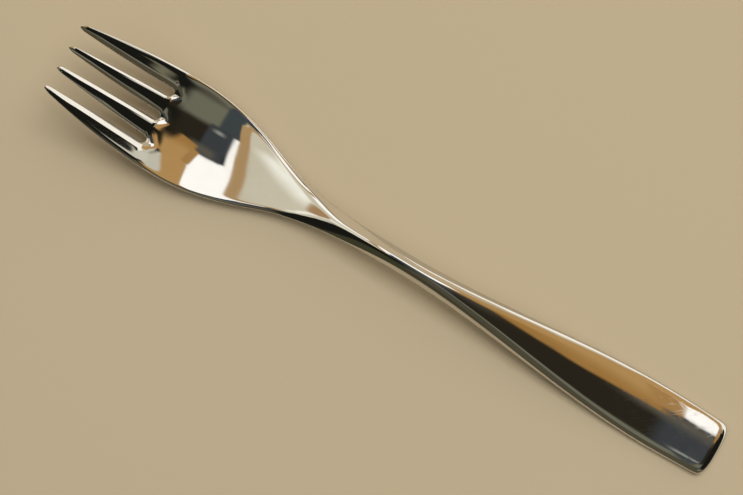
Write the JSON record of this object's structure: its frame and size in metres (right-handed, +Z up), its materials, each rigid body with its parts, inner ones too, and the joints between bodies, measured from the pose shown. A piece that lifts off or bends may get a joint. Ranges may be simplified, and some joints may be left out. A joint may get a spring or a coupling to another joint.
{
  "type": "dinner fork",
  "caption": "Dinner fork with long tapered tines, a dished bowl, a narrow arched neck and a broad flat handle, in one piece of mirror-polished stainless steel.",
  "frame": {"origin": "centre of the bounding box in plan, on the table the fork rests on", "axes": "+X along the fork from the tines to the handle's end, +Z up out of the bowl's hollow, +Y to the right of someone who looks along the fork towards the tines"},
  "size_m": [0.198, 0.0278, 0.0173],
  "materials": {
    "polished_steel": "polished"
  },
  "bodies": {
    "root": {"outer_tine_left": "polished_steel", "inner_tine_left": "polished_steel", "inner_tine_right": "polished_steel", "outer_tine_right": "polished_steel", "bowl": "polished_steel", "neck": "polished_steel", "handle": "polished_steel"}
  },
  "joints": []
}
